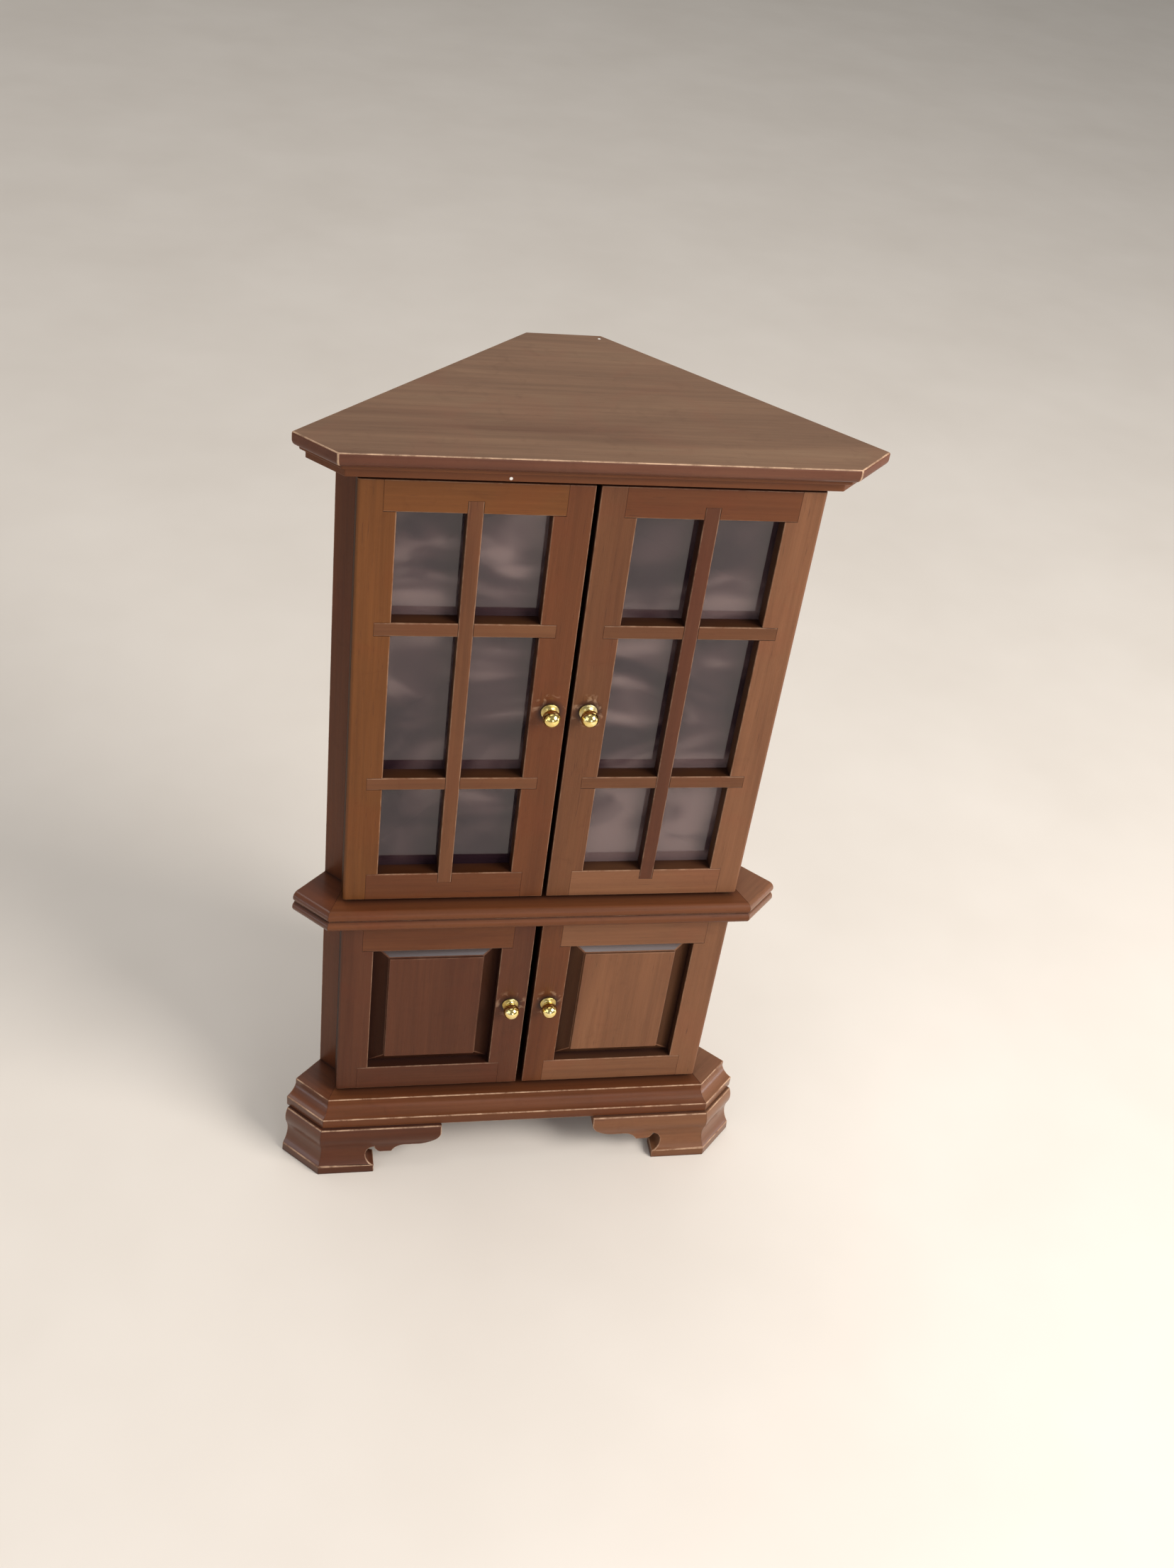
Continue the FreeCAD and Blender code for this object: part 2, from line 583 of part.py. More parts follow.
class Door:
    """One leaf: its side, its heights and the depth of the rebate behind its opening."""

    def __init__(self, storey, side, sign, rebate):
        self.storey, self.side, self.sign, self.rebate = storey, side, sign, rebate
        self.bottom, self.top = f"{storey}_door_bottom", f"{storey}_door_top"
        self.low, self.high = f"{storey}_opening_bottom", f"{storey}_opening_top"
        self.knob_x = f"({sign}) * {storey}_knob_reach"
        self.knob_height = f"{storey}_knob_height"
        self.glazed = storey == "upper"

    def name(self, piece):
        return f"{self.storey}_{self.side}_{piece}"

    def across(self, near, far):
        return spread(self.sign, near, far)

    def rebate_tool(self, near, far, low, high):
        behind = (self.rebate, f"door_thickness + {OVER}")
        return block(self.across(near, far), behind, (low, high))

    def stile_tools(self, lap, let_in, rebate):
        """Cuts in a stile for the laps of the rails, the ends of the bars and the rebate."""
        tools = [block(self.across(*lap), FRONT_LAP, (self.high, f"{self.top} + {OVER}")),
                 block(self.across(*lap), FRONT_LAP, (f"{self.bottom} - {OVER}", self.low)),
                 self.rebate_tool(*rebate, f"{self.low} - rebate_width",
                                  f"{self.high} + rebate_width")]
        if self.glazed:
            tools += [block(self.across(*let_in), BAR_FRONT,
                            (f"{level} - {BAR_HALF}", f"{level} + {BAR_HALF}"))
                      for level in BAR_LEVELS]
        return tools

    def make_inner_stile(self):
        base = block(self.across(f"{self.storey}_meeting_gap", "inner_edge"),
                     ("0", "door_thickness"), (self.bottom, self.top))
        tools = self.stile_tools(("inner_edge - lap_length", f"inner_edge + {OVER}"),
                                 ("inner_edge - bar_into_stile", f"inner_edge + {OVER}"),
                                 ("inner_edge - rebate_width", f"inner_edge + {OVER}"))
        tools.append(rod(self.knob_x, f"-{OVER}", self.knob_height, "peg_radius + peg_play",
                         f"peg_length + {OVER}", along_y=True))
        keep(cut(base, tools), self.name("inner_stile"))

    def make_outer_stile(self):
        """The hinge stile, with a softened outer arris and a bore at each end for its pins."""
        edge = OUTER_EDGE
        corners = [(edge, "0"), ("door_reach - outer_arris", "0"), ("door_reach", "outer_arris"),
                   ("door_reach", "door_thickness"), (edge, "door_thickness")]
        base = slab(mirrored(corners, self.sign), self.bottom, f"{self.top} - {self.bottom}",
                    {1: ("outer_arris", self.sign)})
        tools = self.stile_tools((f"{edge} - {OVER}", f"{edge} + lap_length"),
                                 (f"{edge} - {OVER}", f"{edge} + bar_into_stile"),
                                 (f"{edge} - {OVER}", f"{edge} + rebate_width"))
        pin_x = f"({self.sign}) * {PIN_X}"
        for start in (f"{self.bottom} - {OVER}", f"{self.top} - pin_in_door"):
            tools.append(rod(pin_x, PIN_Y, start, "pin_radius + peg_play",
                             f"pin_in_door + {OVER}"))
        keep(cut(base, tools), self.name("outer_stile"))

    def make_rail(self, name, low, high, opening, inward):
        """A rail lapped into both stiles; inward is +1 where the opening lies above it."""
        base = block(self.across("inner_edge - lap_length", f"{OUTER_EDGE} + lap_length"),
                     ("0", "door_thickness"), (low, high))
        tall = (f"{low} - {OVER}", f"{high} + {OVER}")
        tools = [block(self.across(f"inner_edge - lap_length - {OVER}", "inner_edge"),
                       BACK_LAP, tall),
                 block(self.across(OUTER_EDGE, f"{OUTER_EDGE} + lap_length + {OVER}"),
                       BACK_LAP, tall)]
        band = sorted_span(opening, "rebate_width", inward)
        tools.append(self.rebate_tool(f"inner_edge - {OVER}", f"{OUTER_EDGE} + {OVER}", *band))
        if self.glazed:
            slot = sorted_span(opening, "bar_into_rail", inward)
            tools.append(block(self.across(f"{BAR_MIDDLE} - {BAR_HALF}",
                                           f"{BAR_MIDDLE} + {BAR_HALF}"), BAR_FRONT, slot))
        keep(cut(base, tools), self.name(name))

    def make_frame(self):
        self.make_inner_stile()
        self.make_outer_stile()
        self.make_rail("bottom_rail", self.bottom, self.low, self.low, 1)
        self.make_rail("top_rail", self.high, self.top, self.high, -1)

    def make_bars(self):
        """One upright bar, halved over two cross bars, all let into the frame's face."""
        upright = block(self.across(f"{BAR_MIDDLE} - {BAR_HALF}", f"{BAR_MIDDLE} + {BAR_HALF}"),
                        ("0", "bar_depth"),
                        (f"{self.low} - bar_into_rail", f"{self.high} + bar_into_rail"))
        wide = self.across(f"{BAR_MIDDLE} - bar_width", f"{BAR_MIDDLE} + bar_width")
        notches = [(f"{self.low} - bar_into_rail - {OVER}", self.low),
                   (self.high, f"{self.high} + bar_into_rail + {OVER}")]
        notches += [(f"{level} - {BAR_HALF}", f"{level} + {BAR_HALF}") for level in BAR_LEVELS]
        keep(cut(upright, [block(wide, BAR_BACK, span) for span in notches]),
             self.name("upright_bar"))
        cross_bars = []
        for level in BAR_LEVELS:
            tall = (f"{level} - bar_width", f"{level} + bar_width")
            bar = block(self.across(f"inner_edge - bar_into_stile",
                                    f"{OUTER_EDGE} + bar_into_stile"),
                        ("0", "bar_depth"), (f"{level} - {BAR_HALF}", f"{level} + {BAR_HALF}"))
            ends = [(f"inner_edge - bar_into_stile - {OVER}", "inner_edge"),
                    (OUTER_EDGE, f"{OUTER_EDGE} + bar_into_stile + {OVER}")]
            tools = [block(self.across(*end), BAR_BACK, tall) for end in ends]
            crossing = (f"{BAR_MIDDLE} - {BAR_HALF}", f"{BAR_MIDDLE} + {BAR_HALF}")
            tools.append(block(self.across(*crossing), BAR_FRONT, tall))
            cross_bars.append(cut(bar, tools))
        group(cross_bars, self.name("cross_bars"))

    def make_glass(self):
        lap = "(rebate_width - glass_play)"
        keep(block(self.across(f"inner_edge - {lap}", f"{OUTER_EDGE} + {lap}"),
                   ("bar_depth", "door_thickness"), (f"{self.low} - {lap}", f"{self.high} + {lap}")),
             self.name("glass"))

    def make_panel(self):
        """A raised and fielded panel: a tongue in the rebate, four bevels, a step and a field."""
        lap = "(rebate_width - glass_play)"
        tongue = block(self.across(f"inner_edge - {lap}", f"{OUTER_EDGE} + {lap}"),
                       ("panel_rebate", "door_thickness"),
                       (f"{self.low} - {lap}", f"{self.high} + {lap}"))
        field_x = self.across("inner_edge + panel_side_border",
                              f"{OUTER_EDGE} - panel_side_border")
        field_z = (f"{self.low} + panel_end_border", f"{self.high} - panel_end_border")
        bevel_x = self.across("inner_edge", OUTER_EDGE)
        bevels = document.addObject("Part::Wedge", "Bevels")
        bevels.setExpression("Placement.Base.y", bound("-depth_shift"))
        bevels.setExpression("Ymin", bound("panel_step"))
        bevels.setExpression("Ymax", bound("panel_rebate"))
        for names, (low, high) in ((("Xmin", "Xmax"), field_x), (("Zmin", "Zmax"), field_z),
                                   (("X2min", "X2max"), bevel_x),
                                   (("Z2min", "Z2max"), (self.low, self.high))):
            bevels.setExpression(names[0], bound(low))
            bevels.setExpression(names[1], bound(high))
        field = block(field_x, ("panel_field", "panel_step"), field_z)
        panel = document.addObject("Part::MultiFuse", "Panel")
        panel.Shapes = [tongue, bevels, field]
        keep(panel, self.name("panel"))

    def make_pins(self):
        """The two brass pins, fixed in the stile, on which the door turns."""
        pin_x = f"({self.sign}) * {PIN_X}"
        below, above = {"upper": (WAIST_TOP, "cornice_bottom"),
                        "lower": (BASE_TOP, "waist_bottom")}[self.storey]
        lowest = f"{below} - pin_in_board"
        highest = f"{self.top} - pin_in_door"
        group([rod(pin_x, PIN_Y, lowest, "pin_radius",
                   f"{self.bottom} + pin_in_door - ({lowest})"),
               rod(pin_x, PIN_Y, highest, "pin_radius",
                   f"{above} + pin_in_board - ({highest})")], self.name("hinge_pins"))

    def make_knob(self):
        """A turned brass knob: peg, round plate, neck and ball, about a line through the door."""
        body = new_body(0.0, self.knob_x)
        body.setExpression("Placement.Base.z", bound(self.knob_height))
        ball_start = "(sqrt(knob_radius ^ 2 - knob_neck ^ 2) - knob_centre)"
        outline = [("0", "peg_length"), ("0", "-(knob_centre + knob_radius)"),
                   ("knob_neck", ball_start), ("knob_neck", "-knob_plate_thickness"),
                   ("knob_plate", "-knob_plate_thickness"), ("knob_plate", "0"),
                   ("peg_radius", "0"), ("peg_radius", "peg_length")]
        section = new_sketch(body, "XY_Plane")
        draw(section, outline, {1: ("knob_radius", 1)})
        turned = body.newObject("PartDesign::Revolution", "Turned")
        turned.Profile = section
        turned.ReferenceAxis = (section, ["V_Axis"])
        turned.Angle = 360.0
        document.recompute()
        keep(body, self.name("knob"))


def sorted_span(edge, amount, inward):
    """(low, high) of a cut that starts past the opening and runs amount into the rail."""
    if inward > 0:
        return f"{edge} - {amount}", f"{edge} + {OVER}"
    return f"{edge} - {OVER}", f"{edge} + {amount}"


# ---------------------------------------------------------------- the whole cabinet

def make_carcass():
    make_top_board()
    make_cornice_board()
    make_carcass_walls("upper", WAIST_TOP, "cornice_bottom")
    make_shelf("shelf_upper", "upper_bar_middle")
    make_shelf("shelf_lower", "lower_bar_middle")
    make_inner_board("waist_board", "corner_reach", "waist_bottom", "waist_height")
    make_waist_mouldings()
    make_carcass_walls("lower", BASE_TOP, "waist_bottom")
    make_inner_board("base_board", "base_corner_reach", "foot_height", "base_height")
    make_base_mouldings()
    make_front_feet()
    make_side_feet()
    make_rear_foot()


def make_doors():
    for side, sign in SIDES:
        upper = Door("upper", side, sign, "bar_depth")
        upper.make_frame()
        upper.make_bars()
        upper.make_glass()
        upper.make_pins()
        upper.make_knob()
        lower = Door("lower", side, sign, "panel_rebate")
        lower.make_frame()
        lower.make_panel()
        lower.make_pins()
        lower.make_knob()


def check_and_write():
    """Refuse a failed object or a bad shape, then write every sub-part."""
    document.recompute()
    for item in document.Objects:
        if {"Invalid", "Error"} & set(item.State):
            raise RuntimeError(f"{item.Name} ({item.Label}) failed: {item.State}")
    os.makedirs("parts", exist_ok=True)
    for piece in pieces:
        shape = piece.Shape
        if shape.isNull() or not shape.isValid() or not shape.Solids:
            raise RuntimeError(f"{piece.Label} has no sound solid")
        shape.exportStep(f"parts/{piece.Label}.step")
        print(f"{piece.Label:32s} {len(shape.Solids)} solid(s) {shape.Volume:10.2f} mm3")
    whole = Part.makeCompound([piece.Shape for piece in pieces]).BoundBox
    print(f"{len(pieces)} nodes, X {whole.XMin:.2f} to {whole.XMax:.2f}, "
          f"Y {whole.YMin:.2f} to {whole.YMax:.2f}, Z {whole.ZMin:.2f} to {whole.ZMax:.2f}")


make_carcass()
make_doors()
check_and_write()
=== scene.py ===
"""The looks of a dolls' house corner cabinet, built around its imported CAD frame.

Every wooden node is replaced by a skin of the same shape with softened arrises, so that grain,
lacquer and wear show on it; the knobs are turned again as smooth lathe work.
"""
import json
import math

import bmesh
import bpy
from mathutils import Matrix, Vector
from mathutils.bvhtree import BVHTree


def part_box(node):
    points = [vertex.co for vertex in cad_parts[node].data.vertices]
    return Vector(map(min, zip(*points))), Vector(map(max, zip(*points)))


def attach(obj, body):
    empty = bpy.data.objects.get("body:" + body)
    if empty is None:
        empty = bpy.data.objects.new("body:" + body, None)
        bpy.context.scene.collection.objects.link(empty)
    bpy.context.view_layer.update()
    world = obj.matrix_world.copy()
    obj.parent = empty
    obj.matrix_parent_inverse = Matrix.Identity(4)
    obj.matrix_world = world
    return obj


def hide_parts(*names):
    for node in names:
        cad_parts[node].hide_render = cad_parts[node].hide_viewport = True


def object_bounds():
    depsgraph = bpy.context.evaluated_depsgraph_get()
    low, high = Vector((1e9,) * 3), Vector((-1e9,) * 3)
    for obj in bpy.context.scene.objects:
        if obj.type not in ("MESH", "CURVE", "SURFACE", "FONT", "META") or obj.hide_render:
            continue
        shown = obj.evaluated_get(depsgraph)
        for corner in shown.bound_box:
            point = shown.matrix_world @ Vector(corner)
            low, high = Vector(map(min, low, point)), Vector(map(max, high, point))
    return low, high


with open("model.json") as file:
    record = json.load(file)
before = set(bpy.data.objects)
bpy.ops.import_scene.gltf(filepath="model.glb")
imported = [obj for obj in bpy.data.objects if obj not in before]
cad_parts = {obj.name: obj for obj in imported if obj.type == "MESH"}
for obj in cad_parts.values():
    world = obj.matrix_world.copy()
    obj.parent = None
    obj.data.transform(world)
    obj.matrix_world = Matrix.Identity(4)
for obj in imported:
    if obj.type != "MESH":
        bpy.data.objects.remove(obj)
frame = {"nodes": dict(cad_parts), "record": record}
cad_low, cad_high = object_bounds()

MM = 0.001
RECORD = frame["record"]
BODY_OF = {node: body for body, nodes in RECORD["behaviour"]["bodies"].items() for node in nodes}
HEIGHT = cad_high.z - cad_low.z
DOOR_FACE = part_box("lower_left_top_rail")[0].y

# ---------------------------------------------------------------- camera
CAMERA_AZIMUTH = math.radians(14.38)      # the camera stands to the left of the doors' centre line
CAMERA_ELEVATION = math.radians(37.63)
CAMERA_ROLL = math.radians(8.54)
CAMERA_PLACE = Vector((-57.35, -265.32, 301.54)) * MM
CAMERA_LENS = 37.62                       # millimetres, as the sensor is
SENSOR = 36.0                             # along the picture's height
NEAREST = 5 * MM                          # nothing nearer to the camera is drawn


def make_camera():
    """The photograph's view: close, from above and a little tilted."""
    camera = bpy.data.objects.new("camera", bpy.data.cameras.new("camera"))
    bpy.context.collection.objects.link(camera)
    camera.data.sensor_width = SENSOR
    camera.data.lens = CAMERA_LENS
    camera.data.clip_start = NEAREST
    turn = (Matrix.Rotation(-CAMERA_AZIMUTH, 4, "Z")
            @ Matrix.Rotation(math.pi / 2 - CAMERA_ELEVATION, 4, "X")
            @ Matrix.Rotation(CAMERA_ROLL, 4, "Z"))
    camera.matrix_world = Matrix.Translation(CAMERA_PLACE) @ turn
    bpy.context.scene.camera = camera


# ---------------------------------------------------------------- short calls for node trees
PATTERN_SPREAD = 0.9                      # metres over which the pieces' patterns are set apart
SKY_SAMPLES = 6


class Shader:
    """One material and its node tree."""

    def __init__(self, name):
        self.material = bpy.data.materials.new(name)
        self.material.use_nodes = True
        self.tree = self.material.node_tree
        self.surface = self.tree.nodes["Principled BSDF"]

    def feed(self, socket, source):
        if isinstance(source, bpy.types.NodeSocket):
            self.tree.links.new(source, socket)
        else:
            socket.default_value = source

    def node(self, kind, inputs, result=0, **settings):
        """Add a node, fill its inputs (by name or number) and return one output."""
        made = self.tree.nodes.new(kind)
        for name, setting in settings.items():
            setattr(made, name, setting)
        for key, source in inputs.items():
            self.feed(made.inputs[key], source)
        return made.outputs[result]

    def math(self, operation, first, second):
        return self.node("ShaderNodeMath", {0: first, 1: second}, operation=operation)

    def noise(self, place, scale, detail=3.0, roughness=0.55, distortion=0.0):
        return self.node("ShaderNodeTexNoise", {"Vector": place, "Scale": scale, "Detail": detail,
                                                "Roughness": roughness, "Distortion": distortion})

    def span(self, source, low, high, to_low=0.0, to_high=1.0):
        """Stretch low..high to to_low..to_high and clamp it there."""
        return self.node("ShaderNodeMapRange", {0: source, 1: low, 2: high, 3: to_low, 4: to_high})

    def mix(self, factor, first, second, blend="MIX"):
        return self.node("ShaderNodeMix", {0: factor, 6: first, 7: second}, result=2,
                         data_type="RGBA", blend_type=blend)

    def ramp(self, factor, stops):
        """A colour ramp through (place, colour) stops."""
        made = self.tree.nodes.new("ShaderNodeValToRGB")
        while len(made.color_ramp.elements) < len(stops):
            made.color_ramp.elements.new(0.5)
        for element, (place, colour) in zip(made.color_ramp.elements, stops):
            element.position = place
            element.color = colour
        self.feed(made.inputs[0], factor)
        return made.outputs[0]

    def place(self):
        """Object coordinates, shifted by an amount of its own for each piece."""
        own = self.node("ShaderNodeTexCoord", {}, result="Object")
        lot = self.node("ShaderNodeObjectInfo", {}, result="Random")
        away = self.math("MULTIPLY", lot, PATTERN_SPREAD)
        return self.node("ShaderNodeVectorMath", {0: own, 1: away}, operation="ADD")

    def stretched(self, place, across, along, grain):
        """Coordinates for streaks: 'across' cells per metre, 'along' per metre with the grain.

        The grain runs along "x" or "z", or along the "left" or "right" canted side.
        """
        turn = {"left": math.radians(45), "right": math.radians(-45)}.get(grain)
        if turn is not None:
            place = self.node("ShaderNodeVectorRotate", {"Vector": place, "Angle": turn},
                              rotation_type="Z_AXIS")
        scale = [across] * 3
        scale[2 if grain == "z" else 0] = along
        return self.node("ShaderNodeMapping", {"Vector": place, "Scale": scale})

    def sky(self, distance):
        """How open the surface is to the light within a distance, 0 in a corner to 1."""
        return self.node("ShaderNodeAmbientOcclusion", {"Distance": distance}, result="AO",
                         samples=SKY_SAMPLES)

    def bump(self, layers):
        """Stack (height, distance) layers of relief and give the normal."""
        normal = None
        for height, distance in layers:
            inputs = {"Height": height, "Distance": distance, "Strength": 1.0}
            if normal is not None:
                inputs["Normal"] = normal
            normal = self.node("ShaderNodeBump", inputs)
        self.feed(self.surface.inputs["Normal"], normal)


def shade(colour, factor, redden=0.0):
    """A colour made darker or lighter, and redder by moving green and blue down."""
    red, green, blue = (channel * factor for channel in colour)
    return (red, green * (1 - redden), blue * (1 - redden), 1.0)


# ---------------------------------------------------------------- wood
# Middle colours of the wood and its stain, piece by piece: the real cabinet's strips do not match;
# right-hand pieces are lighter as painted light from the right.
# top board's face: paler and greyer than its rim, partly a painted sheen of the wall's reflection
TOP_WITH_SHEEN = (0.160, 0.088, 0.052)
CASE = (0.100, 0.029, 0.010)
GOLD = (0.130, 0.044, 0.011)
RED = (0.112, 0.035, 0.012)
ROSE = (0.118, 0.044, 0.018)
# lighter tan of the right-hand pieces: partly their own colour, partly painted light from the
# right
TAN_LIT_FROM_RIGHT = (0.165, 0.068, 0.031)
# dark of most left-hand pieces: partly their own colour, partly painted shade on the left
DARK_AND_SHADED = (0.080, 0.025, 0.011)
INSIDE = (0.060, 0.026, 0.016)
RIM = (0.110, 0.040, 0.022)
WORN = (0.600, 0.390, 0.250, 1.0)
DUST = (0.750, 0.710, 0.660, 1.0)
FACE_LACQUER = 0.05
SIDE_LACQUER = 0.60                       # the moulded side returns are coated more thickly
GLINT_LACQUER = 0.90                      # and the upper border of a panel most of all
FACE_SHINE = 0.16
REVEAL_SHINE = 0.05
REVEAL_SHADE = 0.40                       # painted shade: the inner edges of the doors are darkened
BORDER_SHADE = 0.40                       # and so are the borders of their panels
CARCASS_RUB = 1.0                         # how far the stain is rubbed off the arrises
DOOR_RUB = 0.35
PANEL_RUB = 0.12
# the dark of pores, stain and grime, and of the painted shade in corners and hollows
STAIN_AND_SHADE = (0.030, 0.012, 0.009, 1.0)
COAT_ROUGHNESS = 0.24
GLOSSIEST = 0.38                          # roughness of the smoothest bands and of the dullest
DULLEST = 0.47
RUBBED_DULLER = 0.10
# Pattern sizes in cells per metre: across and along the grain, or the same all ways.
BANDS = (130, 12)
STREAKS = (1100, 30)
FIBRES = (3800, 160)
BLOTCHES = 55
SMEARS = 210
RUBBING = 300
SCRATCHES = 520
ORANGE_PEEL = 700
SPECKS = 130.0
SPECK_RARITY = 0.92                       # the share of those cells that stay clean
STREAK_RELIEF = 0.025 * MM
FIBRE_RELIEF = 0.012 * MM
PEEL_RELIEF = 0.020 * MM
CORNER_REACH = 1.2 * MM                   # how far painted shade, with the stain of the seams, spreads out of a corner
RECESS_REACH = 4.0 * MM                   # and how deep a hollow has to be to be given painted shade
MARKED = (2.2 * MM, 4.2 * MM)             # from a knob's middle, scratches fade between these
GRIMY = (1.8 * MM, 3.0 * MM)


def wood(name, tone, grain, rub=0.0, scuff=None, lacquer=FACE_LACQUER, shine=FACE_SHINE):
    """Stained, lacquered close-grained wood.

    grain is the axis along which it runs; rub is how far the stain is worn off, for arrises;
    scuff is a point on the piece round which the lacquer is scratched; lacquer and shine are how
    strongly the coat and the wood below it reflect.
    """
    shader = Shader(name)
    place = shader.place()
    bands = shader.noise(shader.stretched(place, *BANDS, grain), 1.0, 4.0, 0.55, 0.6)
    streaks = shader.noise(shader.stretched(place, *STREAKS, grain), 1.0, 4.0, 0.65, 0.3)
    fibre = shader.noise(shader.stretched(place, *FIBRES, grain), 1.0, 2.0, 0.6)
    blotch = shader.noise(place, BLOTCHES, 3.0, 0.6, 0.8)
    smear = shader.noise(place, SMEARS, 4.0, 0.65, 1.2)

    colour = shader.ramp(bands, [(0.28, shade(tone, 0.80, 0.08)), (0.45, shade(tone, 0.95)),
                                 (0.58, shade(tone, 1.06)), (0.74, shade(tone, 1.20, -0.06))])
    dark_line = shader.span(streaks, 0.36, 0.62, 0.90, 1.05)
    grey = shader.node("ShaderNodeCombineColor", {0: dark_line, 1: dark_line, 2: dark_line})
    colour = shader.mix(1.0, colour, grey, "MULTIPLY")
    red_patch = shader.span(blotch, 0.50, 0.72, 0.0, 0.40)
    colour = shader.mix(red_patch, colour, shade(tone, 1.08, 0.22))
    dull_patch = shader.span(smear, 0.56, 0.78, 0.0, 0.30)
    colour = shader.mix(dull_patch, colour, shade(tone, 0.62, 0.08))
    pores = shader.span(fibre, 0.66, 0.74, 0.0, 0.40)
    colour = shader.mix(pores, colour, STAIN_AND_SHADE)

    # Painted shade: the colour darkens where two surfaces meet, with the stain that gathers in the
    # seams, and in hollows, so reveals stay darker than open faces.
    corner = shader.sky(CORNER_REACH)
    recess = shader.sky(RECESS_REACH)
    if rub > 0:
        rubbed = shader.span(shader.noise(place, RUBBING, 4.0, 0.7, 0.5), 0.36, 0.62,
                             0.08 * rub, 0.66 * rub)
        rubbed = shader.math("MULTIPLY", rubbed, shader.span(recess, 0.35, 0.70))
        colour = shader.mix(rubbed, colour, WORN)
    colour = shader.mix(shader.span(recess, 0.25, 0.80, 0.70, 0.0), colour, STAIN_AND_SHADE)
    colour = shader.mix(shader.span(corner, 0.35, 0.85, 0.80, 0.0), colour, STAIN_AND_SHADE)

    # A few specks of dust and glue.
    cells = shader.tree.nodes.new("ShaderNodeTexVoronoi")
    shader.feed(cells.inputs["Vector"], place)
    cells.inputs["Scale"].default_value = SPECKS
    lot = shader.node("ShaderNodeSeparateColor", {0: cells.outputs["Color"]})
    rare = shader.math("GREATER_THAN", lot, SPECK_RARITY)
    dot = shader.span(cells.outputs["Distance"], 0.030, 0.045, 1.0, 0.0)
    colour = shader.mix(shader.math("MULTIPLY", dot, rare), colour, DUST)

    if scuff is not None:
        own = shader.node("ShaderNodeTexCoord", {}, result="Object")
        away = shader.node("ShaderNodeVectorMath", {0: own, 1: scuff}, result="Value",
                           operation="DISTANCE")
        ring = shader.span(away, *MARKED, 1.0, 0.0)
        scratches = shader.span(shader.noise(place, SCRATCHES, 2.0, 0.6, 0.6), 0.54, 0.66)
        mark = shader.math("MULTIPLY", ring, scratches)
        colour = shader.mix(shader.math("MULTIPLY", mark, 0.40), colour, WORN)
        grime = shader.span(away, *GRIMY, 0.90, 0.0)
        colour = shader.mix(grime, colour, STAIN_AND_SHADE)

    shader.feed(shader.surface.inputs["Base Color"], colour)
    gloss = shader.span(bands, 0.35, 0.65, GLOSSIEST, DULLEST)
    shader.feed(shader.surface.inputs["Roughness"],
                shader.math("ADD", gloss, RUBBED_DULLER * rub))
    shader.surface.inputs["Specular IOR Level"].default_value = shine
    shader.surface.inputs["Coat Weight"].default_value = lacquer
    shader.surface.inputs["Coat Roughness"].default_value = COAT_ROUGHNESS
    orange_peel = shader.noise(place, ORANGE_PEEL, 2.0, 0.5)
    shader.bump([(streaks, STREAK_RELIEF), (fibre, FIBRE_RELIEF), (orange_peel, PEEL_RELIEF)])
    return shader.material


# ---------------------------------------------------------------- brass and panes
BRASS_TONES = ((0.30, (0.76, 0.52, 0.14)), (0.52, (0.90, 0.70, 0.26)), (0.70, (0.95, 0.80, 0.42)))
TARNISH = (0.10, 0.05, 0.02, 1.0)
TARNISH_REACH = 0.25 * MM
BRIGHT = (1.0, 0.06)                      # how light the metal is, and its roughness
DULL = (0.62, 0.30)
SCRATCHED = 0.14                          # roughness that the scratches add
# colours of the film's patches: a cloudy haze and painted reflections of the room
HAZE_AND_REFLECTION_TONES = ((0.38, (0.060, 0.028, 0.042, 1.0)), (0.50, (0.150, 0.082, 0.092, 1.0)),
              (0.62, (0.420, 0.285, 0.275, 1.0)))
CLEARNESS = 0.74
PANE_IOR = 1.49
FILM_WEIGHT = 0.22
FILM_ROUGHNESS = 0.05
FILM_IOR = 1.6
RIPPLE_RELIEF = 0.02 * MM


def brass(name, light, rough):
    """Turned brass with light scratches, and tarnish where it meets the door."""
    shader = Shader(name)
    place = shader.place()
    cloud = shader.noise(place, 500, 3.0, 0.6, 0.5)
    colour = shader.ramp(cloud, [(place_on, shade(tone, light)) for place_on, tone in BRASS_TONES])
    tarnish = shader.span(shader.sky(TARNISH_REACH), 0.20, 0.60, 0.6, 0.0)
    colour = shader.mix(tarnish, colour, TARNISH)
    scratch = shader.noise(shader.stretched(place, 5200, 500, "x"), 1.0, 2.0, 0.6, 0.4)
    shader.feed(shader.surface.inputs["Base Color"], colour)
    shader.surface.inputs["Metallic"].default_value = 1.0
    shader.feed(shader.surface.inputs["Roughness"],
                shader.span(scratch, 0.45, 0.75, rough, rough + SCRATCHED))
    shader.bump([(scratch, 0.002 * MM), (cloud, 0.008 * MM)])
    return shader.material


